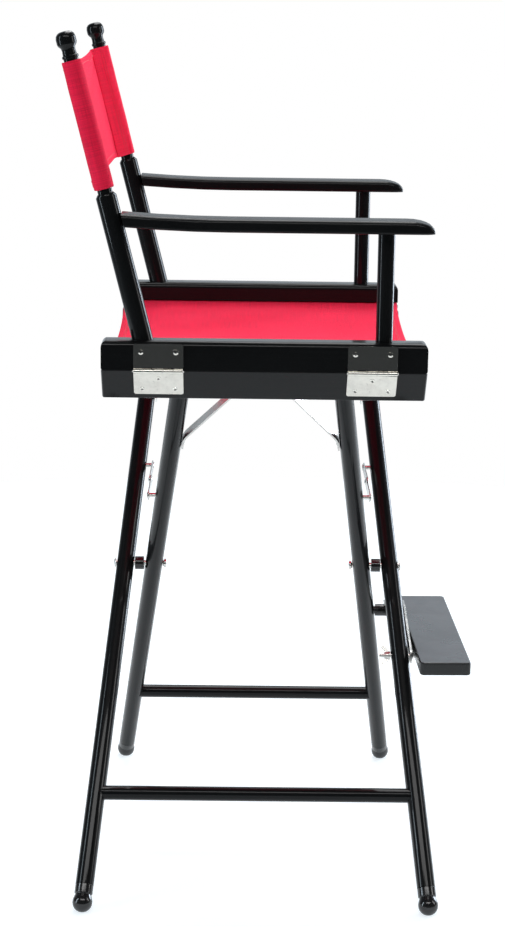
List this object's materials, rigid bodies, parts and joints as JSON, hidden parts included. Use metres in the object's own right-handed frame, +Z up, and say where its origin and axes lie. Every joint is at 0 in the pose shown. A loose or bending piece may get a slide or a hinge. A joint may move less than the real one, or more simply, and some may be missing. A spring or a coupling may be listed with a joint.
{
  "type": "director chair",
  "caption": "Tall folding director's chair with crossed round legs, hinged side rails, armrests, fabric seat and back slings, and a footrest.",
  "frame": {"origin": "middle of the bounding box in plan, at floor level", "axes": "+Z up, the sitter faces -Y, the sitter's left is +X"},
  "size_m": [0.6258, 0.5611, 1.168],
  "materials": {
    "black_wood": "glossy black lacquer",
    "canvas": "red cotton duck",
    "plated_steel": "bright nickel plate",
    "dark_plate": "bright nickel plate that mirrors dark surroundings",
    "black_plastic": "glossy moulded"
  },
  "bodies": {
    "outer_frame": {"outer_leg_rear": "black_wood", "outer_leg_front": "black_wood", "outer_stretcher": "black_wood", "outer_foot_rear": "black_plastic", "outer_foot_front": "black_plastic", "left_lower_rail": "black_wood", "left_brace_front": "plated_steel", "left_brace_rear": "plated_steel", "left_lower_leaf_front": "plated_steel", "left_lower_leaf_rear": "plated_steel", "left_hinge_pin_front": "plated_steel", "left_hinge_pin_rear": "plated_steel", "pivot_bolt_front": "plated_steel", "pivot_bolt_rear": "plated_steel", "front_stay_pin_outer": "plated_steel", "rear_stay_pin_outer": "plated_steel", "footrest_bolt": "plated_steel"},
    "inner_frame": {"inner_leg_rear": "black_wood", "inner_leg_front": "black_wood", "inner_stretcher": "black_wood", "inner_foot_rear": "black_plastic", "inner_foot_front": "black_plastic", "right_lower_rail": "black_wood", "right_brace_front": "plated_steel", "right_brace_rear": "plated_steel", "right_lower_leaf_front": "plated_steel", "right_lower_leaf_rear": "plated_steel", "right_hinge_pin_front": "plated_steel", "right_hinge_pin_rear": "plated_steel", "pivot_spacer_front": "black_plastic", "pivot_spacer_rear": "black_plastic", "front_stay_pin_inner": "plated_steel", "rear_stay_pin_inner": "plated_steel", "footrest_peg": "black_plastic"},
    "left_arm": {"left_upper_rail": "black_wood", "left_seat_dowel": "black_wood", "left_back_post": "black_wood", "left_upper_post": "black_wood", "left_arm_post": "black_wood", "left_armrest": "black_wood", "left_upper_leaf_front": "dark_plate", "left_upper_leaf_rear": "dark_plate", "seat_canvas": "canvas", "back_canvas": "canvas"},
    "right_arm": {"right_upper_rail": "black_wood", "right_seat_dowel": "black_wood", "right_back_post": "black_wood", "right_upper_post": "black_wood", "right_arm_post": "black_wood", "right_armrest": "black_wood", "right_upper_leaf_front": "dark_plate", "right_upper_leaf_rear": "dark_plate"},
    "footrest": {"footrest_board": "black_wood", "footrest_bracket": "plated_steel"},
    "wing_nut": {"wing_nut": "plated_steel"},
    "rear_link_outer": {"rear_stay_outer": "plated_steel"},
    "rear_link_inner": {"rear_stay_inner": "plated_steel"},
    "front_link_outer": {"front_stay_outer": "plated_steel"},
    "front_link_inner": {"front_stay_inner": "plated_steel"}
  },
  "joints": [
    {"name": "fold", "type": "hinge", "parent": "outer_frame", "child": "inner_frame", "pos_m": [0, 0.0168, 0.406], "axis": [0, 1, 0], "range_deg": [0, 60], "deforming": ["seat_canvas", "back_canvas"]},
    {"name": "left_arm_hinge", "type": "hinge", "parent": "outer_frame", "child": "left_arm", "pos_m": [0.29652, 0.0168, 0.74185], "axis": [0, 1, 0], "range_deg": [0, 30]},
    {"name": "right_arm_hinge", "type": "hinge", "parent": "inner_frame", "child": "right_arm", "pos_m": [-0.29652, 0.0168, 0.74185], "axis": [0, 1, 0], "range_deg": [-30, 0]},
    {"name": "footrest_hinge", "type": "hinge", "parent": "outer_frame", "child": "footrest", "pos_m": [-0.08345, -0.18658, 0.296], "axis": [0, 1, 0], "range_deg": [-30, 0]},
    {"name": "wing_nut_spin", "type": "hinge", "parent": "outer_frame", "child": "wing_nut", "pos_m": [-0.08345, -0.16658, 0.296], "axis": [0, 1, 0], "continuous": true},
    {"name": "rear_stay_outer_hinge", "type": "hinge", "parent": "outer_frame", "child": "rear_link_outer", "pos_m": [0.09407, 0.1723, 0.53], "axis": [0, 1, 0], "range_deg": [0, 108.07]},
    {"name": "rear_stay_inner_hinge", "type": "hinge", "parent": "inner_frame", "child": "rear_link_inner", "pos_m": [-0.09407, 0.1723, 0.53], "axis": [0, 1, 0], "range_deg": [-108.07, 0]},
    {"name": "front_stay_outer_hinge", "type": "hinge", "parent": "outer_frame", "child": "front_link_outer", "pos_m": [0.09407, -0.1387, 0.53], "axis": [0, 1, 0], "range_deg": [0, 108.07]},
    {"name": "front_stay_inner_hinge", "type": "hinge", "parent": "inner_frame", "child": "front_link_inner", "pos_m": [-0.09407, -0.1387, 0.53], "axis": [0, 1, 0], "range_deg": [-108.07, 0]}
  ],
  "couplings": [
    {"joint": "left_arm_hinge", "follows": "fold", "ratio": 0.5},
    {"joint": "right_arm_hinge", "follows": "fold", "ratio": -0.5},
    {"joint": "footrest_hinge", "follows": "fold", "ratio": -0.5},
    {"joint": "rear_stay_outer_hinge", "follows": "fold", "ratio": 1.801},
    {"joint": "rear_stay_inner_hinge", "follows": "fold", "ratio": -1.801},
    {"joint": "front_stay_outer_hinge", "follows": "fold", "ratio": 1.801},
    {"joint": "front_stay_inner_hinge", "follows": "fold", "ratio": -1.801}
  ]
}
